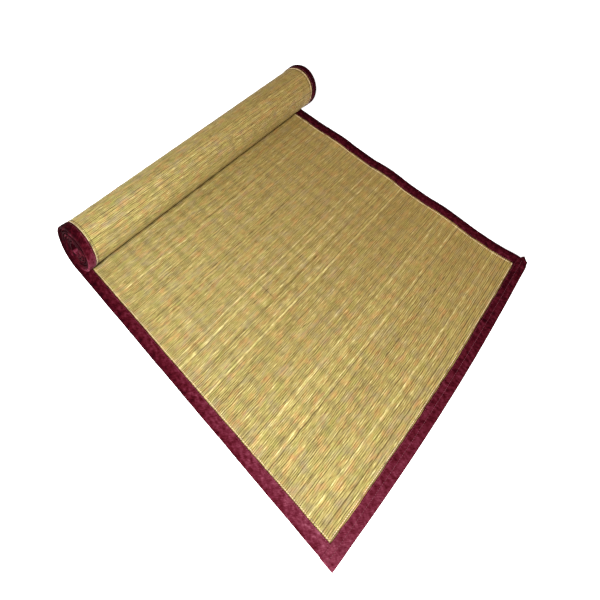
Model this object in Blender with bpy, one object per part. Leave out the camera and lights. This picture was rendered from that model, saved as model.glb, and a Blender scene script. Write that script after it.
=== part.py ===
"""A woven grass floor mat, half rolled up, with cloth tape folded and sewn round its edges.

The mat is described as if it lay flat: u runs across its width, s runs from its near end
towards the end inside the roll, and n is the height above the middle of its thickness.
The function place() then lays the first stretch on the floor and winds the rest into a roll.
Lengths are metres. +Z is up, X runs along the strands of grass and the near end is towards -Y.
"""

import math

import bmesh
import bpy

# The whole mat
MAT_WIDTH = 0.610
MAT_LENGTH = 1.830
FLAT_LENGTH = 0.592

# The woven panel and the cloth tape, which on the long sides is folded narrower at the back
PANEL_THICKNESS = 0.0020
TAPE_THICKNESS = 0.0010
TAPE_WIDTH = 0.0210
BACK_WIDTH = 0.0140
FOLD_ROUND = 0.0008
PIECE_GAP = 0.0003

# The roll: its outer radius, and how far each turn lies inside the one before
ROLL_RADIUS = 0.0485
TURN_PITCH = 0.0052
FACETS_PER_TURN = 24

# How the mat lies: its sides lean, its near end is a little askew and bows outwards
LEAN = 0.060
SKEW = 0.028
BOW_DEPTH = 0.010
BOW_REACH = 0.240

# The roll is pushed over to one side, drifts over its first turn, and its turns wander a little
ROLL_LEAN = 0.15
DRIFT_LENGTH = 0.200
WANDER = 0.0012
WAVES_PER_TURN = 0.8

# The panel sinks from the tape's mid height to the floor, and from the lapped corners, this soon
SETTLE_LENGTH = 0.024
ROLL_LIFT_LENGTH = 0.040

# Lifted stretches of the taped sides: side (-1 left, 1 right), middle, half length, height
RIPPLES = (
    (1, 0.018, 0.060, 0.0050),
    (1, 0.170, 0.060, 0.0028),
    (1, 0.305, 0.055, 0.0034),
    (1, 0.445, 0.065, 0.0026),
    (-1, 0.235, 0.070, 0.0016),
    (-1, 0.430, 0.060, 0.0014),
)
RIPPLE_REACH = 0.150

# Distances between the lines of the grid on the flat stretch
FLAT_STEP = 0.032
INNER_COLUMNS = 4

EDGE_THICKNESS = PANEL_THICKNESS + 2 * (PIECE_GAP + TAPE_THICKNESS)
SLOT_HEIGHT = PANEL_THICKNESS + 2 * PIECE_GAP
PANEL_INSET = TAPE_THICKNESS + PIECE_GAP
START_RADIUS = ROLL_RADIUS - EDGE_THICKNESS / 2
SETTLE_DROP = (EDGE_THICKNESS - PANEL_THICKNESS) / 2
LAP = TAPE_THICKNESS + PIECE_GAP
LAP_SLOPE = 0.012

GRASS = ("dried grass weave", (0.55, 0.42, 0.16), 0.75)
TAPE = ("maroon cotton tape", (0.16, 0.015, 0.045), 0.85)


def smooth_step(t):
    """0 below 0, 1 above 1, and an easy slope between."""
    t = min(max(t, 0.0), 1.0)
    return t * t * (3.0 - 2.0 * t)


def turn_angle(wound):
    """The angle wound through, from the floor line, after this length of mat."""
    inner_area = START_RADIUS**2 - TURN_PITCH * wound / math.pi
    return 2.0 * math.pi / TURN_PITCH * (START_RADIUS - math.sqrt(inner_area))


def wound_length(angle):
    """The length of mat that this angle of the roll takes up."""
    return START_RADIUS * angle - TURN_PITCH * angle**2 / (4.0 * math.pi)


def settle(u, s):
    """How far the panel's middle lies below the tape's, down to where it touches the floor."""
    from_side = min(u, MAT_WIDTH - u) - TAPE_WIDTH
    across = smooth_step(from_side / SETTLE_LENGTH)
    from_end = smooth_step((s - TAPE_WIDTH) / SETTLE_LENGTH)
    from_roll = smooth_step((FLAT_LENGTH - s) / ROLL_LIFT_LENGTH)
    return SETTLE_DROP * min(across, from_end, from_roll)


def corner_lift(u, s):
    """The rise of the near corners, where the near tape laps over the side tapes."""
    from_side = min(u, MAT_WIDTH - u) - TAPE_WIDTH
    across = smooth_step(1.0 - from_side / SETTLE_LENGTH)
    along = smooth_step(1.0 - (s - TAPE_WIDTH) / SETTLE_LENGTH)
    return LAP * across * along


def ripple(u, s):
    """The lift of a side where the tape has puckered it."""
    lift = 0.0
    for side, middle, half_length, height in RIPPLES:
        from_side = u if side < 0 else MAT_WIDTH - u
        along = 1.0 - abs(s - middle) / half_length
        lift += height * smooth_step(along) * smooth_step(1.0 - from_side / RIPPLE_REACH)
    return lift


def drift(wound):
    """The sideways shift of the mat inside the roll."""
    t = min(wound / DRIFT_LENGTH, 1.0)
    return LEAN * DRIFT_LENGTH * (t - t**3 + t**4 / 2.0)


def place(u, s, n):
    """Where the point u across, s along and n above the middle of the mat lies."""
    x = u - MAT_WIDTH / 2.0
    if s <= FLAT_LENGTH:
        back = s - FLAT_LENGTH
        skew = SKEW * x * -back / FLAT_LENGTH
        crown = 1.0 - (2.0 * x / MAT_WIDTH) ** 2
        bow = BOW_DEPTH * crown * max(0.0, 1.0 - s / BOW_REACH) ** 2
        height = EDGE_THICKNESS / 2.0 - settle(u, s) + corner_lift(u, s) + ripple(u, s)
        return (x + LEAN * back, back + skew - bow, height + n)
    wound = s - FLAT_LENGTH
    angle = turn_angle(wound)
    radius = START_RADIUS - TURN_PITCH * angle / (2.0 * math.pi) - n
    rise = START_RADIUS - radius * math.cos(angle)
    wander = WANDER * math.sin(WAVES_PER_TURN * angle) * min(angle / (2.0 * math.pi), 1.0)
    shift = drift(wound) + ROLL_LEAN * (rise - n) + wander
    return (x + shift, radius * math.sin(angle), rise + EDGE_THICKNESS / 2.0)


def evenly(start, end, step):
    """Places from start to end, both kept, about one step apart."""
    count = max(1, round((end - start) / step))
    return [start + (end - start) * i / count for i in range(count + 1)]


def facet_places(start, end):
    """Places along the wound mat, from start to end, where one facet of the roll meets the next."""
    facet = 2.0 * math.pi / FACETS_PER_TURN
    first = int(turn_angle(start - FLAT_LENGTH) / facet) + 1
    last = int(turn_angle(end - FLAT_LENGTH) / facet)
    return [FLAT_LENGTH + wound_length(facet * i) for i in range(first, last + 1)]


def length_stations(start, end):
    """Places along the mat: an even grid on the flat, then one for each facet of the roll."""
    places = [start, TAPE_WIDTH, TAPE_WIDTH + SETTLE_LENGTH / 2.0]
    places += evenly(TAPE_WIDTH + SETTLE_LENGTH, FLAT_LENGTH - ROLL_LIFT_LENGTH, FLAT_STEP)
    places += [FLAT_LENGTH - ROLL_LIFT_LENGTH / 2.0, FLAT_LENGTH]
    places += facet_places(FLAT_LENGTH, end)
    places += [end]
    return tidy_places(places, start, end)


def width_stations(inset):
    """Places across the mat, closer together where the panel leaves the tape."""
    sides = [inset, TAPE_WIDTH, TAPE_WIDTH + SETTLE_LENGTH / 2.0, TAPE_WIDTH + SETTLE_LENGTH]
    middle = evenly(sides[-1], MAT_WIDTH - sides[-1], (MAT_WIDTH - 2 * sides[-1]) / INNER_COLUMNS)
    return sides[:-1] + middle + [MAT_WIDTH - u for u in reversed(sides[:-1])]


def tidy_places(places, start, end):
    """Sorted, within the two limits, and with no two nearer than a tenth of a millimetre."""
    nearest = 0.0001
    kept = []
    for value in sorted(p for p in places if start <= p <= end):
        if not kept or value - kept[-1] > nearest:
            kept.append(value)
    return kept


def surface_material(name, colour, roughness):
    """A plain finish for one kind of piece."""
    material = bpy.data.materials.get(name)
    if material is None:
        material = bpy.data.materials.new(name)
        material.use_nodes = True
        shader = material.node_tree.nodes["Principled BSDF"]
        shader.inputs["Base Color"].default_value = (*colour, 1.0)
        shader.inputs["Roughness"].default_value = roughness
        shader.inputs["Metallic"].default_value = 0.0
    return material


def finish_piece(name, bm, finish):
    """Turns the mesh into a named object with its faces pointing outwards."""
    bmesh.ops.recalc_face_normals(bm, faces=bm.faces)
    mesh = bpy.data.meshes.new(name)
    bm.to_mesh(mesh)
    bm.free()
    mesh.materials.append(surface_material(*finish))
    mesh.shade_smooth()
    mesh.set_sharp_from_angle(angle=math.radians(30.0))
    piece = bpy.data.objects.new(name, mesh)
    bpy.context.scene.collection.objects.link(piece)
    return piece


def skin_rings(bm, rings):
    """Faces between each closed ring of points and the next."""
    for ring, following in zip(rings, rings[1:]):
        count = len(ring)
        for i in range(count):
            j = (i + 1) % count
            bm.faces.new((ring[i], ring[j], following[j], following[i]))


def woven_panel():
    """The grass panel, one sheet from the near end to the middle of the roll."""
    across = width_stations(PANEL_INSET)
    along = length_stations(PANEL_INSET, MAT_LENGTH - PANEL_INSET)
    half = PANEL_THICKNESS / 2.0
    bm = bmesh.new()
    rings = []
    for s in along:
        under = [bm.verts.new(place(u, s, -half)) for u in across]
        over = [bm.verts.new(place(u, s, half)) for u in reversed(across)]
        rings.append(under + over)
    skin_rings(bm, rings)
    last = len(across) - 1
    for ring in (rings[0], rings[-1]):
        for i in range(last):
            mirrored = 2 * last + 1 - i
            bm.faces.new((ring[i], ring[i + 1], ring[mirrored - 1], ring[mirrored]))
    return finish_piece("woven_grass_panel", bm, GRASS)


def side_binding(name, from_right):
    """Tape folded over one long side, open towards the panel."""
    outer = EDGE_THICKNESS / 2.0
    slot = SLOT_HEIGHT / 2.0
    section = [
        (TAPE_THICKNESS, slot), (TAPE_WIDTH, slot), (TAPE_WIDTH, outer),
        (FOLD_ROUND, outer), (0.0, outer - FOLD_ROUND),
        (0.0, FOLD_ROUND - outer), (FOLD_ROUND, -outer),
        (BACK_WIDTH, -outer), (BACK_WIDTH, -slot), (TAPE_THICKNESS, -slot),
    ]
    bm = bmesh.new()
    rings = []
    for s in length_stations(PANEL_INSET, MAT_LENGTH - TAPE_WIDTH - PIECE_GAP):
        widths = [(MAT_WIDTH - u if from_right else u, n) for u, n in section]
        rings.append([bm.verts.new(place(u, s, n)) for u, n in widths])
    skin_rings(bm, rings)
    bm.faces.new(rings[0])
    bm.faces.new(rings[-1])
    return finish_piece(name, bm, TAPE)


def lap_thickness(u, laps):
    """The extra half thickness of an end tape where it covers a side tape."""
    from_side = min(u, MAT_WIDTH - u) - TAPE_WIDTH
    return LAP * min(1.0, max(0.0, 1.0 - from_side / LAP_SLOPE)) if laps else 0.0


def end_binding(name, fold, lip, arm_places, laps):
    """Tape folded over one end, its own two ends tucked in and closed.

    fold and lip are the tape's limits along the mat, and arm_places the bends between them.
    A tape that laps goes over the side tapes and a little past them.
    """
    inwards = 1.0 if lip > fold else -1.0
    pocket = fold + inwards * TAPE_THICKNESS
    shoulder = fold + inwards * FOLD_ROUND
    bends = sorted(arm_places, reverse=inwards < 0)
    overhang = LAP if laps else 0.0
    across = [-overhang, TAPE_THICKNESS - overhang, *width_stations(TAPE_WIDTH)[1:-1]]
    across += [MAT_WIDTH - TAPE_THICKNESS + overhang, MAT_WIDTH + overhang]
    bm = bmesh.new()
    skins = []
    slots = []
    for u in across:
        outer = EDGE_THICKNESS / 2.0 + lap_thickness(u, laps)
        arm = [(fold, outer - FOLD_ROUND), *((s, outer) for s in (shoulder, *bends, lip))]
        skin = [(s, -n) for s, n in reversed(arm)] + arm
        skins.append([bm.verts.new(place(u, s, n)) for s, n in skin])
    for u in across[1:-1]:
        height = SLOT_HEIGHT / 2.0 + lap_thickness(u, laps)
        slot = [(s, height) for s in (lip, *reversed(bends), pocket)]
        slot += [(s, -height) for s in (pocket, *bends, lip)]
        slots.append([bm.verts.new(place(u, s, n)) for s, n in slot])
    skin_rings(bm, [skin + slot for skin, slot in zip(skins[1:-1], slots)])
    for end_skin, next_skin, end_slot in (
        (skins[0], skins[1], slots[0]),
        (skins[-1], skins[-2], slots[-1]),
    ):
        for i in range(len(end_skin) - 1):
            bm.faces.new((end_skin[i], end_skin[i + 1], next_skin[i + 1], next_skin[i]))
        lips = (end_skin[-1], end_skin[0], next_skin[0], end_slot[-1], end_slot[0], next_skin[-1])
        bm.faces.new(lips)
        bm.faces.new(end_skin)
        bm.faces.new(end_slot)
    return finish_piece(name, bm, TAPE)


def centre_pieces(pieces):
    """Moves the mat so that the middle of its base is at the origin."""
    points = [vertex.co for piece in pieces for vertex in piece.data.vertices]
    lowest = [min(point[axis] for point in points) for axis in range(3)]
    highest = [max(point[axis] for point in points) for axis in range(3)]
    centre_x = (lowest[0] + highest[0]) / 2.0
    centre_y = (lowest[1] + highest[1]) / 2.0
    for piece in pieces:
        for vertex in piece.data.vertices:
            vertex.co.x -= centre_x
            vertex.co.y -= centre_y
            vertex.co.z -= lowest[2]


def build_mat():
    """Makes the panel and its four bindings."""
    inner_bends = facet_places(MAT_LENGTH - TAPE_WIDTH, MAT_LENGTH - PANEL_INSET)
    pieces = [
        woven_panel(),
        side_binding("left_side_binding", from_right=False),
        side_binding("right_side_binding", from_right=True),
        end_binding("near_end_binding", 0.0, TAPE_WIDTH, [], True),
        end_binding("inner_end_binding", MAT_LENGTH, MAT_LENGTH - TAPE_WIDTH, inner_bends, False),
    ]
    centre_pieces(pieces)


for startup_object in list(bpy.data.objects):
    bpy.data.objects.remove(startup_object, do_unlink=True)
build_mat()
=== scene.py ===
"""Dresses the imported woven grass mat: its grass strands, threads and folded cotton tape, on a pale floor."""

import math

import bpy
import numpy as np
from mathutils import Matrix, Vector


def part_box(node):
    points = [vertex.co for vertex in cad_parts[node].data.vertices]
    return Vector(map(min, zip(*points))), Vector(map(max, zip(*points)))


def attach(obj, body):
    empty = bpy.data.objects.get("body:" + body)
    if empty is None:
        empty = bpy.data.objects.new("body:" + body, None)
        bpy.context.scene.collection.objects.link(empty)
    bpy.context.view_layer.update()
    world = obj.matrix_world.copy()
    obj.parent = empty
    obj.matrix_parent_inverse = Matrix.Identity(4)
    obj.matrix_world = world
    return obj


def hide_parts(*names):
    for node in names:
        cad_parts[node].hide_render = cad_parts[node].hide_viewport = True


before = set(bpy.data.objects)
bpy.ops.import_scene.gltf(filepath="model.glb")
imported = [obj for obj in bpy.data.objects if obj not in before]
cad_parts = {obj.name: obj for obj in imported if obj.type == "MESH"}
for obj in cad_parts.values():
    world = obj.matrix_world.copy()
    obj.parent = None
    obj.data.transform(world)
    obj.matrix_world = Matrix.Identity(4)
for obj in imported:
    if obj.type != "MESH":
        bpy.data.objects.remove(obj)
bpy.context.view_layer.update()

# Woven panel, core. The panel is one sheet of dried sedge grass about 2 mm thick, its strands laid
# across the width and beaten close together. This core is a thin dark sheet of painted shade for the
# inside of the weave. It closes the gaps between the strands, and deep in the roll it stands in for them.
MAT_WIDTH = 0.610
MAT_LENGTH = 1.830
FLAT_LENGTH = 0.592
TAPE_WIDTH = 0.0210
TAPE_THICKNESS = 0.0010
PIECE_GAP = 0.0003
EDGE_THICKNESS = 0.0046
ROLL_RADIUS = 0.0485
TURN_PITCH = 0.0052
LEAN = 0.060
SKEW = 0.028
BOW_DEPTH = 0.010
BOW_REACH = 0.240
ROLL_LEAN = 0.15
DRIFT_LENGTH = 0.200
WANDER = 0.0012
WAVES_PER_TURN = 0.8
SETTLE_LENGTH = 0.024
SETTLE_DROP = 0.0013
ROLL_LIFT_LENGTH = 0.040
LAP = TAPE_THICKNESS + PIECE_GAP
PANEL_INSET = LAP
START_RADIUS = ROLL_RADIUS - EDGE_THICKNESS / 2
# Lifted stretches of the taped sides: side (-1 left, 1 right), middle, half length, height
RIPPLES = (
    (1, 0.018, 0.060, 0.0050),
    (1, 0.170, 0.060, 0.0028),
    (1, 0.305, 0.055, 0.0034),
    (1, 0.445, 0.065, 0.0026),
    (-1, 0.235, 0.070, 0.0016),
    (-1, 0.430, 0.060, 0.0014),
)
RIPPLE_REACH = 0.150
CORE_THICKNESS = 0.0003
CORE_STEP = 0.006
CORE_EDGE_STEP = 0.004
CORE_MIDDLE_STEP = 0.02
CORE_INSET = 0.005
CORE_FINE_REACH = 0.060
CORE_SHADE_COLOUR = "#54431c"

near_tape_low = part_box("near_end_binding")[0]
side_tape_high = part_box("left_side_binding")[1]
ORIGIN_X = near_tape_low.x + LAP + MAT_WIDTH / 2 + LEAN * FLAT_LENGTH
ORIGIN_Y = side_tape_high.y - (ROLL_RADIUS - TURN_PITCH / 4)


def smooth_step(t):
    """0 below 0, 1 above 1, and an easy slope between."""
    t = np.clip(t, 0.0, 1.0)
    return t * t * (3.0 - 2.0 * t)


def flat_height(u, s):
    """Height of the middle of the mat over the floor on the flat stretch."""
    from_side = np.minimum(u, MAT_WIDTH - u) - TAPE_WIDTH
    from_end = s - TAPE_WIDTH
    across = smooth_step(from_side / SETTLE_LENGTH)
    along = smooth_step(from_end / SETTLE_LENGTH)
    from_roll = smooth_step((FLAT_LENGTH - s) / ROLL_LIFT_LENGTH)
    drop = SETTLE_DROP * np.minimum(np.minimum(across, along), from_roll)
    corner = smooth_step(1.0 - from_side / SETTLE_LENGTH) * smooth_step(1.0 - from_end / SETTLE_LENGTH)
    height = EDGE_THICKNESS / 2 - drop + LAP * corner
    for side, middle, half_length, lift in RIPPLES:
        reach = u if side < 0 else MAT_WIDTH - u
        ridge = smooth_step(1.0 - np.abs(s - middle) / half_length)
        height = height + lift * ridge * smooth_step(1.0 - reach / RIPPLE_REACH)
    return height


def lay(u, s, n):
    """Rows of x, y, z for points u across, s along and n above the mat's middle, none under the floor."""
    x = u - MAT_WIDTH / 2
    back = np.minimum(s - FLAT_LENGTH, 0.0)
    crown = 1.0 - (2.0 * x / MAT_WIDTH) ** 2
    bow = BOW_DEPTH * crown * np.maximum(0.0, 1.0 - s / BOW_REACH) ** 2
    flat = (x + LEAN * back, back - SKEW * x * back / FLAT_LENGTH - bow, flat_height(u, s) + n)
    wound = np.maximum(s - FLAT_LENGTH, 0.0)
    inner_area = START_RADIUS**2 - TURN_PITCH * wound / math.pi
    angle = 2.0 * math.pi / TURN_PITCH * (START_RADIUS - np.sqrt(inner_area))
    radius = START_RADIUS - TURN_PITCH * angle / (2.0 * math.pi) - n
    rise = START_RADIUS - radius * np.cos(angle)
    t = np.minimum(wound / DRIFT_LENGTH, 1.0)
    drift = LEAN * DRIFT_LENGTH * (t - t**3 + t**4 / 2.0)
    wander = WANDER * np.sin(WAVES_PER_TURN * angle) * np.minimum(angle / (2.0 * math.pi), 1.0)
    roll = (x + drift + ROLL_LEAN * (rise - n) + wander, radius * np.sin(angle), rise + EDGE_THICKNESS / 2)
    on_floor = s <= FLAT_LENGTH
    place = [np.where(on_floor, a, b) for a, b in zip(flat, roll)]
    return np.stack([place[0] + ORIGIN_X, place[1] + ORIGIN_Y, np.maximum(place[2], 0.0)], axis=-1)


def evenly(start, end, step):
    """Places from start to end, both kept, about one step apart."""
    return np.linspace(start, end, max(2, round((end - start) / step) + 1))


def add_node(tree, kind, settings=None, inputs=None):
    """Adds a node with its settings, and gives each named input a value or a link."""
    node = tree.nodes.new(kind)
    for name, value in (settings or {}).items():
        setattr(node, name, value)
    for name, value in (inputs or {}).items():
        if isinstance(value, bpy.types.NodeSocket):
            tree.links.new(value, node.inputs[name])
        else:
            node.inputs[name].default_value = value
    return node


def linear(hex_colour):
    """The linear colour of an sRGB hex value, with alpha."""
    channels = [int(hex_colour[i:i + 2], 16) / 255.0 for i in (1, 3, 5)]
    return (*(c / 12.92 if c <= 0.04045 else ((c + 0.055) / 1.055) ** 2.4 for c in channels), 1.0)


def map_flat(mesh, flat_points):
    """Gives a mesh its points' u and s as a UV map."""
    corners = np.empty(len(mesh.loops), np.int32)
    mesh.loops.foreach_get("vertex_index", corners)
    uv_map = mesh.uv_layers.new(name="flat mat")
    uv_map.data.foreach_set("uv", flat_points[corners, :2].astype(np.float32).ravel())


def laid_mesh(name, flat_points, faces):
    """A smooth mesh of points given as u, s, n, laid as the mat lies, with u and s as its UV map."""
    mesh = bpy.data.meshes.new(name)
    mesh.from_pydata(lay(*flat_points.T), [], faces)
    map_flat(mesh, flat_points)
    mesh.shade_smooth()
    return mesh


def show(name, mesh, *materials):
    """A scene object for a finished mesh."""
    for material in materials:
        mesh.materials.append(material)
    piece = bpy.data.objects.new(name, mesh)
    bpy.context.scene.collection.objects.link(piece)
    return piece


def ring_faces(ring_count, ring_size, closed_ends=True):
    """Faces between each closed ring of points and the next, and over the two ends."""
    faces = []
    for ring in range(ring_count - 1):
        for i in range(ring_size):
            j = (i + 1) % ring_size
            a, b = ring * ring_size, (ring + 1) * ring_size
            faces.append((a + i, a + j, b + j, b + i))
    if closed_ends:
        faces.append(tuple(reversed(range(ring_size))))
        faces.append(tuple((ring_count - 1) * ring_size + i for i in range(ring_size)))
    return faces


core_left = evenly(CORE_INSET, CORE_FINE_REACH, CORE_EDGE_STEP)
core_middle = evenly(CORE_FINE_REACH, MAT_WIDTH - CORE_FINE_REACH, CORE_MIDDLE_STEP)[1:-1]
core_across = np.concatenate([core_left, core_middle, MAT_WIDTH - core_left[::-1]])
core_along = evenly(CORE_INSET, MAT_LENGTH - CORE_INSET, CORE_STEP)
core_section = np.array(
    [(u, -CORE_THICKNESS / 2) for u in core_across] + [(u, CORE_THICKNESS / 2) for u in core_across[::-1]]
)
core_points = np.array([(u, s, n) for s in core_along for u, n in core_section])
core_faces = [tuple(reversed(face)) for face in ring_faces(len(core_along), len(core_section))]

# Painted shade for the inside of the weave: a dull, dark olive brown sheet, so that gaps read as depth.
shaded_weave = bpy.data.materials.new("shaded inside of the grass weave")
shaded_weave.use_nodes = True
core_shader = shaded_weave.node_tree.nodes["Principled BSDF"]
core_shader.inputs["Base Color"].default_value = linear(CORE_SHADE_COLOUR)
core_shader.inputs["Roughness"].default_value = 0.9

core = show("Woven_panel_core", laid_mesh("woven panel core", core_points, core_faces), shaded_weave)
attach(core, "root")
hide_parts("woven_grass_panel")

# Grass strands. Split sedge stems, about 3 mm wide and flattened, run the whole width one beside the
# other. They bow a little between the cotton threads and dip where a thread holds them down.
STRAND_SPACING = 0.0028
STRAND_JITTER = 0.00032
STRAND_WIDTHS = (0.0028, 0.0036)
STRAND_FLATNESS = 0.42
STRAND_SIDES = 6
THREAD_SPACING = 0.0316
STATIONS_PER_THREAD = 6
STATION_PULL = 0.0024
FIRST_STATION = 3
LAST_STATION = 113
FIRST_STRAND = 0.012
# The strands, threads and sewing end one turn up the roll, where the next turn covers them
DRESSED_LENGTH = 0.895
# Groups of strands and where each ends, along the mat
STRAND_GROUPS = (
    ("Grass_strands_near", 0.302), ("Grass_strands_far", 0.597), ("Grass_strands_on_roll", DRESSED_LENGTH),
)
STRAND_SEED = 7
SCALLOP = 0.0012
DIP = 0.00012
WEAVE_LIFT = 0.00007
SWELL = 0.00008
STRAND_DRIFT = 0.0004
CROWDING = 0.00026
UNEVEN_WIDTH = 0.16
UNEVEN_HEIGHT = 0.00010
LOWEST_POINT = -0.00096
# Unevenness of the strands: its size across and along the mat, and its seed
SWAY_NOISE = (0.5, 0.050, 3)
DRIFT_NOISE = (0.21, 0.08, 5)
CROWDING_NOISE = (0.034, 0.0040, 8)
WIDTH_NOISE = (0.035, 0.0031, 9)
HEIGHT_NOISE = (0.070, 0.0041, 11)
# Rows where two strands part at the threads: place along the mat, opening, from and to across it
OPEN_ROWS = (
    (0.102, 0.0009, 0.250, 0.570),
    (0.220, 0.0011, 0.340, 0.500),
    (0.230, 0.0010, 0.170, 0.250),
    (0.298, 0.0008, 0.240, 0.590),
    (0.318, 0.0009, 0.150, 0.370),
    (0.420, 0.0009, 0.020, 0.440),
    (0.502, 0.0009, 0.160, 0.400),
    (0.532, 0.0009, 0.220, 0.400),
)
OPEN_ROW_REACH = 0.0050
OPEN_ROW_FADE = 0.03
OPEN_ROW_PATCH = 0.12
# Strands that stand out over the whole width: place along the mat, tone (0 brown to 1 pale)
ODD_STRANDS = (
    (0.060, 2.4), (0.075, 1.4), (0.138, 1.9), (0.170, 2.2), (0.268, 2.1), (0.297, -1.2),
    (0.304, 2.1), (0.328, 1.9), (0.342, 2.0), (0.420, -0.8), (0.497, 1.7), (0.560, 1.7),
)


def strand_tree():
    """Straight strands laid side by side, each with its own width and tone."""
    tree = bpy.data.node_groups.new("strands laid side by side", "GeometryNodeTree")
    sockets = (
        ("Count", "NodeSocketInt"), ("First place", "NodeSocketFloat"), ("Spacing", "NodeSocketFloat"),
        ("Jitter", "NodeSocketFloat"), ("Thinnest", "NodeSocketFloat"), ("Widest", "NodeSocketFloat"),
        ("Left end", "NodeSocketFloat"), ("Right end", "NodeSocketFloat"), ("Stations", "NodeSocketInt"),
        ("Sides", "NodeSocketInt"), ("Seed", "NodeSocketInt"), ("Stem", "NodeSocketMaterial"),
    )
    for name, kind in sockets:
        tree.interface.new_socket(name, in_out="INPUT", socket_type=kind)
    tree.interface.new_socket("Strands", in_out="OUTPUT", socket_type="NodeSocketGeometry")
    given = add_node(tree, "NodeGroupInput").outputs
    first = add_node(tree, "ShaderNodeCombineXYZ", {}, {"Y": given["First place"]})
    step = add_node(tree, "ShaderNodeCombineXYZ", {}, {"Y": given["Spacing"]})
    row = add_node(tree, "GeometryNodeMeshLine", {}, {
        "Count": given["Count"], "Start Location": first.outputs[0], "Offset": step.outputs[0],
    })
    back = add_node(tree, "ShaderNodeMath", {"operation": "MULTIPLY"}, {0: given["Jitter"], 1: -1.0})
    nudge = add_node(tree, "FunctionNodeRandomValue", {}, {
        2: back.outputs[0], 3: given["Jitter"], "Seed": given["Seed"],
    })
    offset = add_node(tree, "ShaderNodeCombineXYZ", {}, {"Y": nudge.outputs[1]})
    points = add_node(tree, "GeometryNodeSetPosition", {}, {
        "Geometry": row.outputs[0], "Offset": offset.outputs[0],
    })
    tone_seed = add_node(tree, "ShaderNodeMath", {"operation": "ADD"}, {0: given["Seed"], 1: 1.0})
    tone = add_node(tree, "FunctionNodeRandomValue", {}, {"Seed": tone_seed.outputs[0]})
    width_seed = add_node(tree, "ShaderNodeMath", {"operation": "ADD"}, {0: given["Seed"], 1: 2.0})
    width = add_node(tree, "FunctionNodeRandomValue", {}, {
        2: given["Thinnest"], 3: given["Widest"], "Seed": width_seed.outputs[0],
    })
    number = add_node(tree, "GeometryNodeInputIndex")
    side = add_node(tree, "ShaderNodeMath", {"operation": "MODULO"}, {0: number.outputs[0], 1: 2.0})
    kept = points.outputs[0]
    for name, value in (
        ("strand_tone", tone.outputs[1]),
        ("strand_width", width.outputs[1]),
        ("strand_side", side.outputs[0]),
    ):
        store = add_node(tree, "GeometryNodeStoreNamedAttribute", {}, {
            "Geometry": kept, "Name": name, "Value": value,
        })
        kept = store.outputs[0]
    left = add_node(tree, "ShaderNodeCombineXYZ", {}, {"X": given["Left end"]})
    right = add_node(tree, "ShaderNodeCombineXYZ", {}, {"X": given["Right end"]})
    line = add_node(tree, "GeometryNodeCurvePrimitiveLine", {}, {
        "Start": left.outputs[0], "End": right.outputs[0],
    })
    strand = add_node(tree, "GeometryNodeResampleCurve", {}, {
        "Curve": line.outputs[0], "Count": given["Stations"],
    })
    laid = add_node(tree, "GeometryNodeInstanceOnPoints", {}, {
        "Points": kept, "Instance": strand.outputs[0],
    })
    lines = add_node(tree, "GeometryNodeRealizeInstances", {}, {"Geometry": laid.outputs[0]})
    own_width = add_node(tree, "GeometryNodeInputNamedAttribute", {}, {"Name": "strand_width"})
    own_radius = add_node(tree, "ShaderNodeMath", {"operation": "MULTIPLY"}, {
        0: own_width.outputs[0], 1: 0.5,
    })
    outline = add_node(tree, "GeometryNodeCurvePrimitiveCircle", {}, {
        "Resolution": given["Sides"], "Radius": 1.0,
    })
    stems = add_node(tree, "GeometryNodeCurveToMesh", {}, {
        "Curve": lines.outputs[0], "Profile Curve": outline.outputs[0], "Scale": own_radius.outputs[0],
        "Fill Caps": True,
    })
    smooth = add_node(tree, "GeometryNodeSetShadeSmooth", {}, {"Geometry": stems.outputs[0]})
    whole = add_node(tree, "GeometryNodeRealizeInstances", {}, {"Geometry": smooth.outputs[0]})
    dressed = add_node(tree, "GeometryNodeSetMaterial", {}, {
        "Geometry": whole.outputs[0], "Material": given["Stem"],
    })
    add_node(tree, "NodeGroupOutput", {}, {"Strands": dressed.outputs[0]})
    return tree


def grown(name, tree, values):
    """The plain mesh that a tree makes from these named inputs."""
    holder = bpy.data.objects.new(name, bpy.data.meshes.new(name))
    bpy.context.scene.collection.objects.link(holder)
    modifier = holder.modifiers.new(name, "NODES")
    modifier.node_group = tree
    for item in tree.interface.items_tree:
        if item.in_out == "INPUT":
            modifier[item.identifier] = values[item.name]
    bpy.context.view_layer.update()
    evaluated = holder.evaluated_get(bpy.context.evaluated_depsgraph_get())
    mesh = bpy.data.meshes.new_from_object(evaluated)
    bpy.data.objects.remove(holder)
    return mesh


def slow_noise(u, s, across, along, seed):
    """A smooth unevenness from -1 to 1 that repeats nowhere on the mat, of this coarseness."""
    total = np.zeros(np.broadcast(u, s).shape)
    draws = np.random.default_rng(seed)
    for octave in range(5):
        angle, phase, phase_2 = draws.uniform(0.0, 2.0 * math.pi, 3)
        stretch = 0.6 + 0.35 * octave
        a = 2.0 * math.pi * stretch * (u / across * math.cos(angle) + s / along * math.sin(angle))
        total += np.sin(a + phase) * np.sin(0.7 * a + 1.3 * octave + phase_2) / (1.0 + 0.3 * octave)
    return total / 1.8


def weave_shift(u, s):
    """How far the strand at u, s lies off its straight line, along the mat."""
    at_thread = (0.5 + 0.5 * np.cos(2.0 * math.pi * u / THREAD_SPACING)) ** 2
    sway = 0.25 + 0.6 * slow_noise(u, s, *SWAY_NOISE)
    shift = SCALLOP * sway * (at_thread - 0.4) + STRAND_DRIFT * slow_noise(u, s, *DRIFT_NOISE)
    for place, opening, left, right in OPEN_ROWS:
        near = np.exp(-((s - place) / OPEN_ROW_REACH) ** 2) * np.sign(s - place)
        within = smooth_step((u - left) / OPEN_ROW_FADE) * smooth_step((right - u) / OPEN_ROW_FADE)
        own_seed = int(place * 1000)
        patchy = np.clip(0.55 + 0.7 * slow_noise(u, s * 0.0, OPEN_ROW_PATCH, 1.0, own_seed), 0.0, 1.0)
        shift = shift + opening * near * at_thread**2 * within * patchy
    return shift


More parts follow.
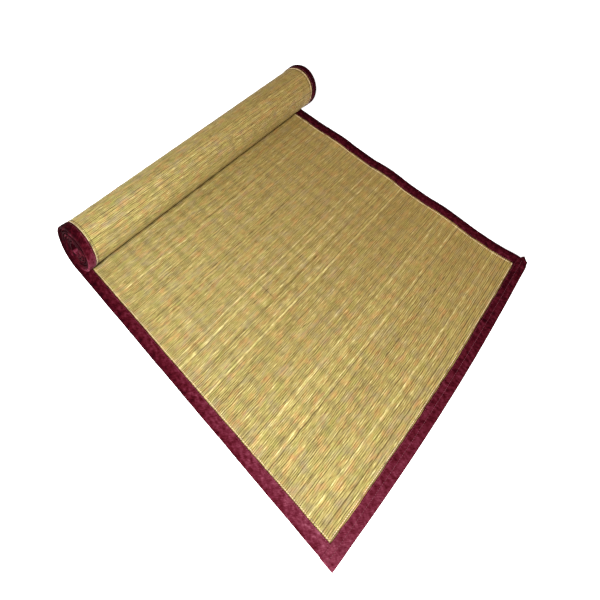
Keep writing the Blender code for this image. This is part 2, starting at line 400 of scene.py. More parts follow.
def vary_strands(mesh, count):
    """Lets each strand swell and thin, wander, dip under its threads and crowd its neighbours."""
    rings = flat_places(mesh).reshape(count, -1, STRAND_SIDES, 3)
    u, s, n = rings[..., 0], rings[..., 1], rings[..., 2]
    u = u - STATION_PULL * np.sin(2.0 * math.pi * u / THREAD_SPACING)
    middle = s.mean(axis=2, keepdims=True)
    crowd = CROWDING * slow_noise(u, middle, *CROWDING_NOISE)
    own_width = 1.0 + UNEVEN_WIDTH * slow_noise(u, middle, *WIDTH_NOISE)
    side = vertex_values(mesh, "strand_side").reshape(s.shape) * 2.0 - 1.0
    at_thread = (0.5 + 0.5 * np.cos(2.0 * math.pi * u / THREAD_SPACING)) ** 3
    alternate = np.cos(math.pi * u / THREAD_SPACING)
    height = WEAVE_LIFT * side * alternate**3 + SWELL * (1.0 - at_thread) - DIP * at_thread
    height = height + UNEVEN_HEIGHT * slow_noise(u, middle, *HEIGHT_NOISE)
    # The crown, 1 on a strand's top and 0 at its sides, carries painted shade on the strand's flanks.
    crown = np.abs(n) / np.abs(n).max(axis=2, keepdims=True)
    layer = mesh.attributes.new("strand_crown", "FLOAT", "POINT")
    layer.data.foreach_set("value", crown.astype(np.float32).ravel())
    along = middle + weave_shift(u, middle) + crowd + (s - middle) * own_width
    lifted = np.maximum(n * STRAND_FLATNESS + height, LOWEST_POINT)
    return np.stack([u, along, lifted], axis=-1).reshape(-1, 3)


def vertex_values(mesh, name):
    """The values of a named attribute on the mesh's points."""
    values = np.empty(len(mesh.vertices), np.float32)
    mesh.attributes[name].data.foreach_get("value", values)
    return values


def lay_grown(mesh, flat_points):
    """Lays a grown mesh as the mat lies, with u and s as its UV map."""
    map_flat(mesh, flat_points)
    mesh.vertices.foreach_set("co", lay(*flat_points.T).astype(np.float32).ravel())
    mesh.update()


def flat_places(mesh):
    """The mesh's points as rows of u, s, n."""
    points = np.empty(len(mesh.vertices) * 3, np.float32)
    mesh.vertices.foreach_get("co", points)
    return points.reshape(-1, 3).astype(float)


# Dried sedge grass: split stems with a dry, faintly waxy skin, from pale cream to olive and tan.
# It gives fine streaks along each stem, painted shade on each stem's flanks and in bands at the threads,
# faint orange, grey and olive stains, and painted shade that turns the right side darker and warmer.
GRASS_TONES = (
    (0.00, "#54441d"), (0.22, "#766637"), (0.45, "#8c7d45"), (0.60, "#97884e"), (0.78, "#a8995c"),
    (1.00, "#cec086"),
)
GRASS_STAINS = (("Red", "#b8774a"), ("Green", "#8a7d68"), ("Blue", "#86893e"))
THREAD_BAND_PAINTED_SHADE = "#6c6340"
GRASS_RIGHT_PAINTED_SHADE = "#7d5b24"
RIGHT_PAINTED_SHADE_SHARE = 0.50
GROOVE_PAINTED_SHADE = 0.36
MIDDLE_TONE = 0.41
TONE_SPREAD = 0.20
STAIN_SHARE = 0.42
# Streaks on the strands: size across and along the mat, strength
GRASS_STREAKS = ((0.050, 0.0026, 0.9), (0.015, 0.0015, 2.0), (0.120, 0.022, 0.30))
grass = bpy.data.materials.new("dried sedge grass")
grass.use_nodes = True
grass_tree = grass.node_tree
grass_shader = grass_tree.nodes["Principled BSDF"]
grass_shader.inputs["Roughness"].default_value = 0.6
grass_shader.inputs["Specular IOR Level"].default_value = 0.3


# Where on the flat mat every noise starts
NOISE_START = (3.1, 7.7, 0.0)


def noise_on_mat(tree, place, across, along, detail):
    """A noise on the flat mat with features of this size, in metres."""
    scaled = add_node(tree, "ShaderNodeMapping", {}, {
        "Vector": place, "Location": NOISE_START, "Scale": (1.0 / across, 1.0 / along, 1.0),
    })
    return add_node(tree, "ShaderNodeTexNoise", {}, {
        "Vector": scaled.outputs[0], "Scale": 1.0, "Detail": detail, "Roughness": 0.6,
    })


def streaked(tree, tone, layers):
    """A tone with noises added, each given as its place, its size across and along, and its strength."""
    for place, across, along, strength in layers:
        streak = add_node(tree, "ShaderNodeMath", {"operation": "SUBTRACT"}, {
            0: noise_on_mat(tree, place, across, along, 3.0).outputs["Fac"], 1: 0.5,
        })
        tone = add_node(tree, "ShaderNodeMath", {"operation": "MULTIPLY_ADD"}, {
            0: streak.outputs[0], 1: strength, 2: tone,
        }).outputs[0]
    return tone


def set_tones(ramp, tones):
    """Gives a colour ramp its stops, each a place from 0 to 1 and an sRGB hex value."""
    while len(ramp.elements) < len(tones):
        ramp.elements.new(0.5)
    for element, (position, colour) in zip(ramp.elements, tones):
        element.position = position
        element.color = linear(colour)


grass_place = add_node(grass_tree, "ShaderNodeUVMap", {"uv_map": "flat mat"}).outputs[0]
tone_of_strand = add_node(grass_tree, "ShaderNodeAttribute", {"attribute_name": "strand_tone"})
tone = add_node(grass_tree, "ShaderNodeMath", {"operation": "MULTIPLY_ADD"}, {
    0: tone_of_strand.outputs["Fac"], 1: TONE_SPREAD, 2: MIDDLE_TONE - GROOVE_PAINTED_SHADE,
}).outputs[0]
tone = streaked(grass_tree, tone, [(grass_place, *streak) for streak in GRASS_STREAKS])
# Painted shade: each strand is darker on its flanks than on its top.
crown = add_node(grass_tree, "ShaderNodeAttribute", {"attribute_name": "strand_crown"}).outputs["Fac"]
tone = add_node(grass_tree, "ShaderNodeMath", {"operation": "MULTIPLY_ADD"}, {
    0: crown, 1: GROOVE_PAINTED_SHADE, 2: tone,
}).outputs[0]
tones = add_node(grass_tree, "ShaderNodeValToRGB", {}, {"Fac": tone})
set_tones(tones.color_ramp, GRASS_TONES)
across_mat = add_node(grass_tree, "ShaderNodeSeparateXYZ", {}, {"Vector": grass_place})
turns = add_node(grass_tree, "ShaderNodeMath", {"operation": "MULTIPLY"}, {
    0: across_mat.outputs["X"], 1: 2.0 * math.pi / THREAD_SPACING,
})
wave = add_node(grass_tree, "ShaderNodeMath", {"operation": "COSINE"}, {0: turns.outputs[0]})
# Painted shade in soft, patchy bands along the threads, where the strands dip.
thread_mask = add_node(grass_tree, "ShaderNodeMapRange", {}, {
    "Value": wave.outputs[0], "From Min": 0.1, "From Max": 1.0, "To Min": 0.0, "To Max": 1.0,
})
shade_share = add_node(grass_tree, "ShaderNodeMapRange", {}, {
    "Value": noise_on_mat(grass_tree, grass_place, 0.060, 0.022, 2.0).outputs["Fac"],
    "From Min": 0.36, "From Max": 0.66, "To Min": 0.10, "To Max": 0.50,
})
shade_mask = add_node(grass_tree, "ShaderNodeMath", {"operation": "MULTIPLY"}, {
    0: thread_mask.outputs[0], 1: shade_share.outputs[0],
})
grass_colour = add_node(grass_tree, "ShaderNodeMix", {"data_type": "RGBA"}, {
    "Factor": shade_mask.outputs[0], 6: tones.outputs[0], 7: linear(THREAD_BAND_PAINTED_SHADE),
}).outputs[2]
stains = add_node(grass_tree, "ShaderNodeSeparateColor", {}, {
    "Color": noise_on_mat(grass_tree, grass_place, 0.024, 0.011, 2.0).outputs["Color"],
})
for channel, colour in GRASS_STAINS:
    stain_mask = add_node(grass_tree, "ShaderNodeMapRange", {}, {
        "Value": stains.outputs[channel], "From Min": 0.50, "From Max": 0.74,
        "To Min": 0.0, "To Max": STAIN_SHARE,
    })
    grass_colour = add_node(grass_tree, "ShaderNodeMix", {"data_type": "RGBA"}, {
        "Factor": stain_mask.outputs[0], 6: grass_colour, 7: linear(colour),
    }).outputs[2]
# Painted shade: the grass turns darker and warmer towards the right side, away from the lamp.
right_painted_shade_share = add_node(grass_tree, "ShaderNodeMapRange", {}, {
    "Value": across_mat.outputs["X"], "From Min": 0.10, "From Max": 0.60,
    "To Min": 0.0, "To Max": RIGHT_PAINTED_SHADE_SHARE,
})
grass_colour = add_node(grass_tree, "ShaderNodeMix", {"data_type": "RGBA"}, {
    "Factor": right_painted_shade_share.outputs[0], 6: grass_colour, 7: linear(GRASS_RIGHT_PAINTED_SHADE),
}).outputs[2]
grass_tree.links.new(grass_colour, grass_shader.inputs["Base Color"])
fibre_bump = add_node(grass_tree, "ShaderNodeBump", {}, {
    "Strength": 0.3, "Distance": 0.0001,
    "Height": noise_on_mat(grass_tree, grass_place, 0.020, 0.0005, 1.0).outputs["Fac"],
})
grass_tree.links.new(fibre_bump.outputs[0], grass_shader.inputs["Normal"])

station = THREAD_SPACING / STATIONS_PER_THREAD
strands = strand_tree()
strand_pieces = []
strand_start = FIRST_STRAND
for name, strand_end in STRAND_GROUPS:
    count = round((strand_end - strand_start) / STRAND_SPACING)
    mesh = grown(name, strands, {
        "Count": count, "First place": strand_start, "Spacing": STRAND_SPACING, "Jitter": STRAND_JITTER,
        "Thinnest": STRAND_WIDTHS[0], "Widest": STRAND_WIDTHS[1], "Left end": FIRST_STATION * station,
        "Right end": LAST_STATION * station, "Stations": LAST_STATION - FIRST_STATION + 1,
        "Sides": STRAND_SIDES, "Seed": STRAND_SEED + len(strand_pieces) * 10, "Stem": grass,
    })
    strand_place = flat_places(mesh)[:, 1]
    tone = vertex_values(mesh, "strand_tone")
    for place, value in ODD_STRANDS:
        tone[np.abs(strand_place - place) < STRAND_SPACING / 2] = value
    mesh.attributes["strand_tone"].data.foreach_set("value", tone)
    lay_grown(mesh, vary_strands(mesh, count))
    piece = show(name, mesh)
    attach(piece, "root")
    strand_pieces.append(piece)
    strand_start += count * STRAND_SPACING

# Warp threads. Thin cotton threads run along the mat 31.6 mm apart, over one strand and under the
# next, and hold the weave. One of them has worked loose for a few strands and lies on top.
THREAD_WIDTH = 0.00055
THREAD_HEIGHT = 0.00062
THREAD_COUNT = 18
THREAD_ENDS = (0.0186, DRESSED_LENGTH)
THREAD_STEPS = 2
# The loose thread: its number from the left, and from where to where it lies free
LOOSE_THREAD = (7, 0.300, 0.336)
LOOSE_LIFT = 0.0002
THREAD_WANDER = 0.0006
THREADS_APART = 0.1
WANDER_NOISE = (0.10, 0.13, 61)
WARP_TONE_NOISE = (0.05, 0.13, 62)
WARP_TONE_LEFT = 0.9
WARP_PAINTED_SHADE_FALL = 0.030
UNEVEN_WARP_TONE = 0.35

# Undyed cotton warp: matt, olive brown, with painted shade that darkens it towards the right side, and darkest
# where the thread is loose.
warp_cotton = bpy.data.materials.new("undyed cotton warp thread")
warp_cotton.use_nodes = True
warp_tree = warp_cotton.node_tree
warp_shader = warp_tree.nodes["Principled BSDF"]
warp_shader.inputs["Roughness"].default_value = 0.85
warp_tone = add_node(warp_tree, "ShaderNodeAttribute", {"attribute_name": "strand_tone"}).outputs["Fac"]
warp_colour = add_node(warp_tree, "ShaderNodeMix", {"data_type": "RGBA"}, {
    "Factor": warp_tone, 6: linear("#2c230d"), 7: linear("#94854f"),
})
warp_tree.links.new(warp_colour.outputs[2], warp_shader.inputs["Base Color"])

mesh = grown("Warp_threads", strands, {
    "Count": THREAD_COUNT, "First place": THREAD_SPACING, "Spacing": THREAD_SPACING, "Jitter": 0.0,
    "Thinnest": THREAD_WIDTH * 0.9, "Widest": THREAD_WIDTH * 1.1, "Left end": THREAD_ENDS[0],
    "Right end": THREAD_ENDS[1],
    "Stations": round((THREAD_ENDS[1] - THREAD_ENDS[0]) / STRAND_SPACING * THREAD_STEPS) + 1,
    "Sides": 4, "Seed": 71, "Stem": warp_cotton,
})
s, u, n = flat_places(mesh).T
column = np.round(u / THREAD_SPACING)
parity = 1.0 - 2.0 * (column % 2)
wander = THREAD_WANDER * slow_noise(s, column * THREADS_APART, *WANDER_NOISE)
over = THREAD_HEIGHT * parity * np.cos(math.pi * (s - FIRST_STRAND) / STRAND_SPACING)
loose = (column == LOOSE_THREAD[0]) & (s > LOOSE_THREAD[1]) & (s < LOOSE_THREAD[2])
over = np.where(loose, THREAD_HEIGHT + LOOSE_LIFT, over)
warp_places = np.stack([u + wander, s + weave_shift(column * THREAD_SPACING, s), n + over], axis=-1)
uneven_tone = UNEVEN_WARP_TONE * slow_noise(s, column * THREADS_APART, *WARP_TONE_NOISE)
# Painted shade: the threads darken column by column towards the right side.
tone = np.clip(WARP_TONE_LEFT - WARP_PAINTED_SHADE_FALL * column + uneven_tone, 0.0, 1.0)
mesh.attributes["strand_tone"].data.foreach_set("value", np.where(loose, 0.0, tone).astype(np.float32))
mesh.flip_normals()
lay_grown(mesh, warp_places)
threads = show("Warp_threads", mesh)
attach(threads, "root")

# Side tapes. Plain woven cotton tape, dyed maroon, folded over each long side and sewn down.
# Each is one folded strip, 21 mm wide on the face and 14 mm on the back, and is wound up with the mat.
BACK_WIDTH = 0.0140
TAPE_CLOTH = 0.0007
TAPE_STEP = 0.004
TAPE_WEAVE = 0.0010
ARM_STEPS = (
    1.0, 0.985, 0.94, 0.88, 0.80, 0.72, 0.65, 0.60, 0.56, 0.52, 0.46, 0.38, 0.30, 0.22, 0.14, 0.08, 0.04,
    0.02,
)
FOLD_STEPS = 5
LIP_DROP = 0.00055
PUCKER = 0.00030
PUCKER_SIZE = (0.026, 0.018)
ROLL_SEAT = 0.900
SEAT_LENGTH = 0.03
FOLD_RECESS = 0.0016
FOLD_PINCH = 0.30
LIP_NOISE = (0.10, 0.09)
RIPPLE_NOISE = (0.02, 0.03)
LIP_RIPPLE = 0.00035
# Painted light on a tape: shade by its fold (a little paler by the end tapes' folds), a highlight at the left
# corner, and the length over which the corner's fades
SIDE_PAINTED_LIGHT = (-0.24, 0.78, 0.62)
END_PAINTED_LIGHT = (0.06, 0.66, 0.50)
# A paler patch on the roll: strength, fade across, place and half length along the mat
PALE_PATCH = 0.75
PALE_PATCH_REACH = 0.4
PALE_PATCH_PLACE = 0.820
PALE_PATCH_LENGTH = 0.045
# Wear of the turns inside the roll: middle value, unevenness, and its noise
INNER_WEAR = 0.26
INNER_UNEVEN = 0.42
INNER_NOISE = (0.3, 0.021, 77)
TAPE_TONES = (
    (0.00, "#1b0105"), (0.18, "#2b0209"), (0.36, "#3d0913"), (0.60, "#501826"), (0.85, "#652c3a"),
    (1.00, "#7b4352"),
)

# Plain woven cotton tape, dyed maroon and quite matt. It has a painted highlight near the left corner,
# painted shade by the side tapes' folds, a paler patch round the roll, dark smudges and slanted creases, and
# its weave is drawn coarser than real.
tape_cloth = bpy.data.materials.new("plain woven cotton tape")
tape_cloth.use_nodes = True
tape_tree = tape_cloth.node_tree
tape_shader = tape_tree.nodes["Principled BSDF"]
tape_shader.inputs["Roughness"].default_value = 0.8
tape_shader.inputs["Specular IOR Level"].default_value = 0.02
tape_place = add_node(tape_tree, "ShaderNodeUVMap", {"uv_map": "flat mat"}).outputs[0]
tape_tone = add_node(tape_tree, "ShaderNodeAttribute", {"attribute_name": "tape_wear_and_light"}).outputs["Fac"]
slanted = add_node(tape_tree, "ShaderNodeMapping", {}, {
    "Vector": tape_place, "Rotation": (0.0, 0.0, math.radians(35.0)),
}).outputs[0]
tape_tone = streaked(tape_tree, tape_tone, [
    (tape_place, 0.0055, 0.0085, 1.25), (slanted, 0.0090, 0.0012, 0.80), (tape_place, 0.030, 0.045, 0.25),
])
tape_tones = add_node(tape_tree, "ShaderNodeValToRGB", {}, {"Fac": tape_tone})
set_tones(tape_tones.color_ramp, TAPE_TONES)
tape_tree.links.new(tape_tones.outputs[0], tape_shader.inputs["Base Color"])
tape_weave_scale = add_node(tape_tree, "ShaderNodeMapping", {}, {
    "Vector": tape_place, "Scale": (1.0 / TAPE_WEAVE, 1.0 / TAPE_WEAVE, 1.0),
})
tape_weave = add_node(tape_tree, "ShaderNodeTexChecker", {}, {
    "Vector": tape_weave_scale.outputs[0], "Scale": 1.0,
})
tape_bump = add_node(tape_tree, "ShaderNodeBump", {}, {
    "Strength": 0.3, "Distance": 0.00015, "Height": tape_weave.outputs["Fac"],
})
tape_tree.links.new(tape_bump.outputs[0], tape_shader.inputs["Normal"])


def face_height(w):
    """Height of the tape's outer face, which sinks towards its lip."""
    return EDGE_THICKNESS / 2 - LIP_DROP * smooth_step((w / TAPE_WIDTH - 0.45) / 0.5)


def tape_section(back_share=1.0):
    """The folded tape's outline: rows of distance from the fold and height, the back's arm shortened."""
    arm = [(f * TAPE_WIDTH, float(face_height(f * TAPE_WIDTH))) for f in ARM_STEPS]
    back = [(w * back_share, -n) for w, n in arm]
    outer = arm[-1][1]
    turn = [
        (arm[-1][0] * (1.0 - math.cos(a)), outer * math.sin(a))
        for a in np.linspace(math.pi / 2, -math.pi / 2, FOLD_STEPS + 2)[1:-1]
    ]
    skin = arm + turn + list(reversed(back))
    inner_back = [(w, n + TAPE_CLOTH) for w, n in back if w > TAPE_CLOTH]
    inner = [(w, n - TAPE_CLOTH) for w, n in arm if w > TAPE_CLOTH]
    return np.array(skin + inner_back + list(reversed(inner)))


def pucker(u, s, seed):
    """Small puckers of the sewn tape, deeper where it lies free on the floor."""
    free = 0.5 + 0.5 * smooth_step((FLAT_LENGTH - s) / 0.05)
    return PUCKER * free * slow_noise(u, s, *PUCKER_SIZE, seed)


def tape_mesh(name, flat_points, faces, fold_painted_shading, corner_painted_highlight, fade_length):
    """A tape's mesh with its tone at each point, from 0 dark to 1 pale: wear, painted highlight and shade."""
    mesh = laid_mesh(name, flat_points, faces)
    u, s = flat_points[:, 0], flat_points[:, 1]
    from_fold = np.minimum(np.minimum(u, MAT_WIDTH - u), np.minimum(s, MAT_LENGTH - s))
    # Painted highlight, fading away from the near left corner.
    wear_and_painted_light = corner_painted_highlight * np.exp(-np.hypot(u, s) / fade_length)
    pale_patch = PALE_PATCH * np.exp(-u / PALE_PATCH_REACH) * np.exp(-((s - PALE_PATCH_PLACE) / PALE_PATCH_LENGTH) ** 2)
    inner_wear = INNER_WEAR + INNER_UNEVEN * slow_noise(u, s, *INNER_NOISE)
    wear_and_painted_light = np.where(s > ROLL_SEAT, inner_wear, wear_and_painted_light + pale_patch)
    # Painted shade by the side tapes' folds; the end tapes grow a little paler by theirs.
    wear_and_painted_light = wear_and_painted_light + fold_painted_shading * np.clip(1.0 - from_fold / (0.6 * TAPE_WIDTH), 0.0, 1.0)
    layer = mesh.attributes.new("tape_wear_and_light", "FLOAT", "POINT")
    layer.data.foreach_set("value", np.clip(wear_and_painted_light, 0.0, 1.0).astype(np.float32))
    return mesh


def side_tape(name, from_right, lip_wave, seed):
    """One folded tape along a whole side."""
    along = evenly(PANEL_INSET, MAT_LENGTH - TAPE_WIDTH - PIECE_GAP, TAPE_STEP)
    section = tape_section(BACK_WIDTH / TAPE_WIDTH)
    w, n = section[:, 0][None, :], section[:, 1][None, :]
    s = along[:, None]
    lip = (w / TAPE_WIDTH) ** 2
    wound_in = smooth_step((s - ROLL_SEAT) / SEAT_LENGTH)
    waves = lip_wave * lip * slow_noise(s, s, *LIP_NOISE, seed)
    shift = waves + LIP_RIPPLE * slow_noise(s, s, *RIPPLE_NOISE, seed + 1)
    shift = shift + FOLD_RECESS * wound_in * (1.0 - w / TAPE_WIDTH) ** 2
    u = MAT_WIDTH - w - shift if from_right else w + shift
    n = n * (1.0 - FOLD_PINCH * wound_in * (1.0 - w / TAPE_WIDTH) ** 3)
    n = n + np.where(n > 0, 1.0, -0.3) * pucker(u, s, seed + 2)
    u, s, n = np.broadcast_arrays(u, s, n)
    points = np.stack([u, s, n], axis=-1).reshape(-1, 3)
    faces = ring_faces(len(along), section.shape[0])
    if not from_right:
        faces = [tuple(reversed(face)) for face in faces]
    return show(name, tape_mesh(name, points, faces, *SIDE_PAINTED_LIGHT), tape_cloth)


for name, node, from_right, lip_wave, seed in (
    ("Left_side_tape", "left_side_binding", False, 0.0004, 21),
    ("Right_side_tape", "right_side_binding", True, 0.0015, 31),
):
    tape = side_tape(name, from_right, lip_wave, seed)
    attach(tape, "root")
    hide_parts(node)

# End tapes. The same cotton tape, folded over each end of the mat. The near one laps over the side
# tapes with its own ends tucked in, and one end sticks out in a small point. The other one lies in
# the middle of the roll and meets the side tapes edge to edge.
LAP_SLOPE = 0.012
TUCK = 0.0008
POINT_LENGTH = 0.0095
POINT_PLACE = 0.0100
POINT_ROOT = 0.0140
END_TAPE_STEP = 0.004
NEAR_SEED = 41
TUCKED_SHARE = 0.12
NEAR_LIP_WAVE = 0.0006
NEAR_LIP_NOISE = (0.07, 0.05)
CORNER_WIDENING = 0.0030
CORNER_REACH = 0.004
POINT_NARROWING = 0.96
POINT_CURVE = 1.4


def lapped(u):
    """How far the near tape rises to lie over a side tape."""
    from_side = np.minimum(u, MAT_WIDTH - u) - TAPE_WIDTH
    return LAP * np.clip(1.0 - from_side / LAP_SLOPE, 0.0, 1.0)


def end_tape(name, fold, lip, laps):
    """One folded tape across an end of the mat, its ends tucked in where it laps."""
    inwards = 1.0 if lip > fold else -1.0
    if laps:
        ends = np.array([-TUCK, -0.6 * TUCK, -0.15 * TUCK, 0.0])
        point = MAT_WIDTH + POINT_LENGTH * np.array([0.0, 0.15, 0.5, 0.8, 1.0])
        across = np.concatenate([ends, evenly(0.001, MAT_WIDTH - 0.001, END_TAPE_STEP), point])
    else:
        across = evenly(TAPE_THICKNESS, MAT_WIDTH - TAPE_THICKNESS, END_TAPE_STEP)
    section = tape_section()
    w, n = section[:, 0][None, :], section[:, 1][None, :]
    u = across[:, None]
    if laps:
        lip_share = (w / TAPE_WIDTH) ** 2
        n = n + np.sign(n) * lapped(u)
        tucked = np.minimum(1.0 + u / TUCK, 1.0 - (u - MAT_WIDTH) / POINT_LENGTH)
        n = n * np.clip(tucked, TUCKED_SHARE, 1.0)
        n = n + np.where(n > 0, pucker(u, w, NEAR_SEED), 0.0)
        w = w + NEAR_LIP_WAVE * slow_noise(u, u, *NEAR_LIP_NOISE, NEAR_SEED + 1) * lip_share
        w = w + CORNER_WIDENING * lip_share * np.exp(-np.abs(MAT_WIDTH - TAPE_WIDTH - u) / CORNER_REACH)
        past_root = np.clip((u - (MAT_WIDTH - POINT_ROOT)) / (POINT_ROOT + POINT_LENGTH), 0.0, 1.0)
        w = w + (POINT_PLACE - w) * POINT_NARROWING * past_root**POINT_CURVE
    s = fold + inwards * w
    u, s, n = np.broadcast_arrays(u, s, n)
    points = np.stack([u, s, n], axis=-1).reshape(-1, 3)
    faces = ring_faces(len(across), section.shape[0])
    if inwards < 0:
        faces = [tuple(reversed(face)) for face in faces]
    return show(name, tape_mesh(name, points, faces, *END_PAINTED_LIGHT), tape_cloth)


for name, node, fold, lip, laps in (
    ("Near_end_tape", "near_end_binding", 0.0, TAPE_WIDTH, True),
    ("Inner_end_tape", "inner_end_binding", MAT_LENGTH, MAT_LENGTH - TAPE_WIDTH, False),
):
    tape = end_tape(name, fold, lip, laps)
    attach(tape, "root")
    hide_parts(node)

# Sewing. The side tapes are sewn through the mat in matching thread by each lip, and the face's row
# comes out on the bare grass of the back. The near tape has a row by its lip and one along its middle.
# Undyed thread whips the grass just past each lip.
STITCH_SPACING = 0.0034
STITCH_LENGTH = 0.0025
STITCH_TURN = 0.12
WHIP_LENGTH = 0.0037
SIDE_SEWING_START = 0.024
NEAR_SEWING_INSET = 0.004
STITCH_SEED = 3
GRASS_FACE = 0.00085
# Rows of sewing: distance from the fold, stitch thickness, face (1 over, -1 under), kind of row
SIDE_ROWS = (
    (0.0193, 0.00040, 1, "on tape"), (0.0233, 0.00120, 1, "whipped"), (0.0118, 0.00040, -1, "on tape"),
    (0.0162, 0.00120, -1, "whipped"), (0.0196, 0.00110, -1, "on grass"),
)
END_ROWS = (
    (0.0193, 0.00040, 1, "on tape"), (0.0233, 0.00120, 1, "whipped"), (0.0118, 0.00055, 1, "on tape"),
)


def stitch_tree():
    """Short rounded stitches in a row, each turned a little."""
    tree = bpy.data.node_groups.new("stitches in a row", "GeometryNodeTree")
    sockets = (
        ("Count", "NodeSocketInt"), ("First", "NodeSocketVector"), ("Step", "NodeSocketVector"),
        ("Size", "NodeSocketVector"), ("Turn", "NodeSocketFloat"), ("Seed", "NodeSocketInt"),
        ("Thread", "NodeSocketMaterial"),
    )
    for name, kind in sockets:
        tree.interface.new_socket(name, in_out="INPUT", socket_type=kind)
    tree.interface.new_socket("Stitches", in_out="OUTPUT", socket_type="NodeSocketGeometry")
    given = add_node(tree, "NodeGroupInput").outputs
    row = add_node(tree, "GeometryNodeMeshLine", {}, {
        "Count": given["Count"], "Start Location": given["First"], "Offset": given["Step"],
    })
    bead = add_node(tree, "GeometryNodeMeshUVSphere", {}, {"Segments": 6, "Rings": 4, "Radius": 0.5})
    back = add_node(tree, "ShaderNodeMath", {"operation": "MULTIPLY"}, {0: given["Turn"], 1: -1.0})
    turn = add_node(tree, "FunctionNodeRandomValue", {}, {
        2: back.outputs[0], 3: given["Turn"], "Seed": given["Seed"],
    })
    turned = add_node(tree, "ShaderNodeCombineXYZ", {}, {"Z": turn.outputs[1]})
    beads = add_node(tree, "GeometryNodeInstanceOnPoints", {}, {
        "Points": row.outputs[0], "Instance": bead.outputs[0], "Rotation": turned.outputs[0],
        "Scale": given["Size"],
    })
    whole = add_node(tree, "GeometryNodeRealizeInstances", {}, {"Geometry": beads.outputs[0]})
    smooth = add_node(tree, "GeometryNodeSetShadeSmooth", {}, {"Geometry": whole.outputs[0]})
    dressed = add_node(tree, "GeometryNodeSetMaterial", {}, {
        "Geometry": smooth.outputs[0], "Material": given["Thread"],
    })
    add_node(tree, "NodeGroupOutput", {}, {"Stitches": dressed.outputs[0]})
    return tree


# Polyester-cotton sewing thread: a tight twist with a slight shine, dyed to match or left undyed. It
# gives a dashed line that is browned in places where dust has settled in it.
sewing_threads = {}
for kind, thread_name, colour in (
    ("on tape", "dyed sewing thread", "#6a3542"), ("whipped", "undyed sewing thread", "#cbb28c"),
    # The back row is the same dyed thread in a darker copy, painted shade where it lies on the back.
    ("on grass", "dyed sewing thread, back row in painted shade", "#2c140d"),
):
    thread = bpy.data.materials.new(thread_name)
    thread.use_nodes = True
    thread_shader = thread.node_tree.nodes["Principled BSDF"]
    thread_shader.inputs["Roughness"].default_value = 0.5
    twist_place = add_node(thread.node_tree, "ShaderNodeUVMap", {"uv_map": "flat mat"}).outputs[0]
    dust = noise_on_mat(thread.node_tree, twist_place, 0.014, 0.014, 2.0)
    dust_share = add_node(thread.node_tree, "ShaderNodeMapRange", {}, {
        "Value": dust.outputs["Fac"], "From Min": 0.28, "From Max": 0.50,
    })
    thread_tone = add_node(thread.node_tree, "ShaderNodeMix", {"data_type": "RGBA"}, {
        "Factor": dust_share.outputs[0], 6: linear("#43201c"), 7: linear(colour),
    })
    thread.node_tree.links.new(thread_tone.outputs[2], thread_shader.inputs["Base Color"])
    sewing_threads[kind] = thread

stitches = stitch_tree()


def sewing_on(name, sewing_rows, place_of, start, end, along_mat, seed):
    """Every row of stitches of one tape, joined into one piece."""
    rows = []
    count = int((end - start) / STITCH_SPACING)
    for distance, thickness, face, kind in sewing_rows:
        on_tape = kind == "on tape"
        height = float(face_height(distance)) if on_tape else GRASS_FACE
        length = WHIP_LENGTH if kind == "whipped" else STITCH_LENGTH
        size = (thickness, length, thickness) if along_mat else (length, thickness, thickness)
        mesh = grown(name, stitches, {
            "Count": count, "First": place_of(distance, start) + (face * height,),
            "Step": (0.0, STITCH_SPACING, 0.0) if along_mat else (STITCH_SPACING, 0.0, 0.0),
            "Size": size, "Turn": STITCH_TURN, "Seed": STITCH_SEED, "Thread": sewing_threads[kind],
        })
        u, s, n = flat_places(mesh).T
        if on_tape:
            n = n + (pucker(u, s, seed) if face > 0 else 0.0)
            n = n + (0.0 if along_mat else face * lapped(u))
        lay_grown(mesh, np.stack([u, s, n], axis=-1))
        rows.append(show(name, mesh))
    with bpy.context.temp_override(active_object=rows[0], selected_editable_objects=rows):
        bpy.ops.object.join()
    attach(rows[0], "root")
    return rows[0]


left_sewing = sewing_on(
    "Left_sewing", SIDE_ROWS, lambda w, s: (w, s), SIDE_SEWING_START, DRESSED_LENGTH, True, 23,
)
right_sewing = sewing_on(
    "Right_sewing", SIDE_ROWS, lambda w, s: (MAT_WIDTH - w, s), SIDE_SEWING_START, DRESSED_LENGTH, True, 33,
)
near_sewing = sewing_on(
    "Near_sewing", END_ROWS, lambda w, u: (u, w), NEAR_SEWING_INSET, MAT_WIDTH - NEAR_SEWING_INSET,
    False, NEAR_SEED,
)

# The floor. A plain white studio table, matt and lit faintly from inside, so that it stays white and
# shows hardly any shadow round the mat.
FLOOR_SIZE = 6.0
FLOOR_GLOW = 0.62
floor_mesh = bpy.data.meshes.new("pale floor")
floor_corners = [(x * FLOOR_SIZE, y * FLOOR_SIZE, 0.0) for x, y in ((-1, -1), (1, -1), (1, 1), (-1, 1))]
floor_mesh.from_pydata(floor_corners, [], [(0, 1, 2, 3)])
# White laminate, matt, with a faint glow of its own: it gives a plain white ground.
pale_floor = bpy.data.materials.new("matt white studio floor")
pale_floor.use_nodes = True
floor_shader = pale_floor.node_tree.nodes["Principled BSDF"]
floor_shader.inputs["Base Color"].default_value = linear("#ffffff")
floor_shader.inputs["Roughness"].default_value = 0.95
floor_shader.inputs["Specular IOR Level"].default_value = 0.1
floor_shader.inputs["Emission Color"].default_value = (1.0, 1.0, 1.0, 1.0)
floor_shader.inputs["Emission Strength"].default_value = FLOOR_GLOW
floor = show("floor", floor_mesh, pale_floor)

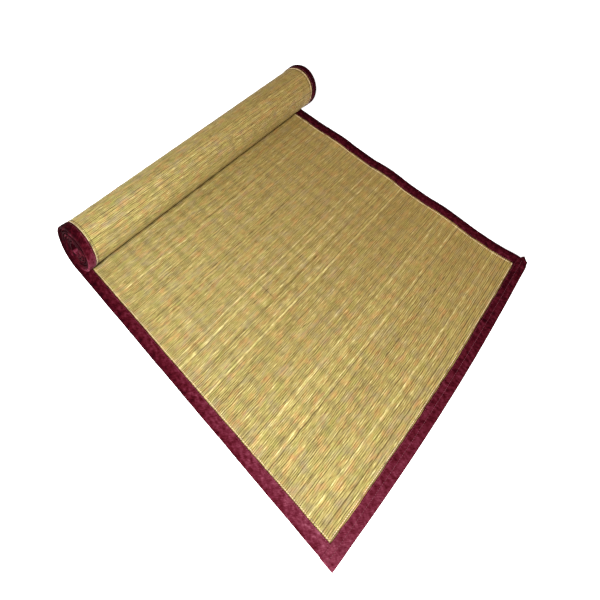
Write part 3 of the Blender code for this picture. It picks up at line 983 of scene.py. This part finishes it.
# The light. One small soft lamp, high at the left and in front of the mat, leads, so that the roll
# throws a thin shadow into its own crease. A dim, even, slightly warm surround fills the rest.
SURROUND_COLOUR = (1.0, 0.975, 0.945, 1.0)
SURROUND_STRENGTH = 0.52
LAMP_WIDTH = 0.10
LAMP_POWER = 49.0
LAMP_PLACE = (-1.05, -0.36, 1.13)
world = bpy.data.worlds.new("even studio surround")
bpy.context.scene.world = world
world.use_nodes = True
world.node_tree.nodes["Background"].inputs["Color"].default_value = SURROUND_COLOUR
world.node_tree.nodes["Background"].inputs["Strength"].default_value = SURROUND_STRENGTH
lamp_data = bpy.data.lights.new("soft lamp", "AREA")
lamp_data.shape = "DISK"
lamp_data.size = LAMP_WIDTH
lamp_data.energy = LAMP_POWER
lamp = bpy.data.objects.new("soft lamp", lamp_data)
bpy.context.scene.collection.objects.link(lamp)
lamp.location = LAMP_PLACE
lamp.rotation_euler = (-lamp.location).to_track_quat("-Z", "Y").to_euler()

# The camera. It looks down at the mat from its near left side, with the photo's framing. Its shift
# moves the frame over the mat without turning the camera.
CAMERA_AZIMUTH = math.radians(48.129)
CAMERA_ELEVATION = math.radians(56.929)
CAMERA_ROLL = math.radians(1.969)
CAMERA_PLACE = (-0.3995, -0.4768, 0.7092)
camera_data = bpy.data.cameras.new("camera")
camera_data.sensor_width = 36.0
camera_data.lens = 27.0
camera_data.shift_x = 0.1
camera_data.shift_y = -0.1
camera = bpy.data.objects.new("camera", camera_data)
bpy.context.scene.collection.objects.link(camera)
bpy.context.scene.camera = camera
camera.location = (CAMERA_PLACE[0] + ORIGIN_X, CAMERA_PLACE[1] + ORIGIN_Y, CAMERA_PLACE[2])
look = Vector((
    math.sin(CAMERA_AZIMUTH) * math.cos(CAMERA_ELEVATION),
    math.cos(CAMERA_AZIMUTH) * math.cos(CAMERA_ELEVATION),
    -math.sin(CAMERA_ELEVATION),
))
camera.rotation_mode = "QUATERNION"
camera_tilt = Matrix.Rotation(CAMERA_ROLL, 3, "Z").to_quaternion()
camera.rotation_quaternion = look.to_track_quat("-Z", "Y") @ camera_tilt

bpy.context.scene.view_settings.view_transform = "Standard"
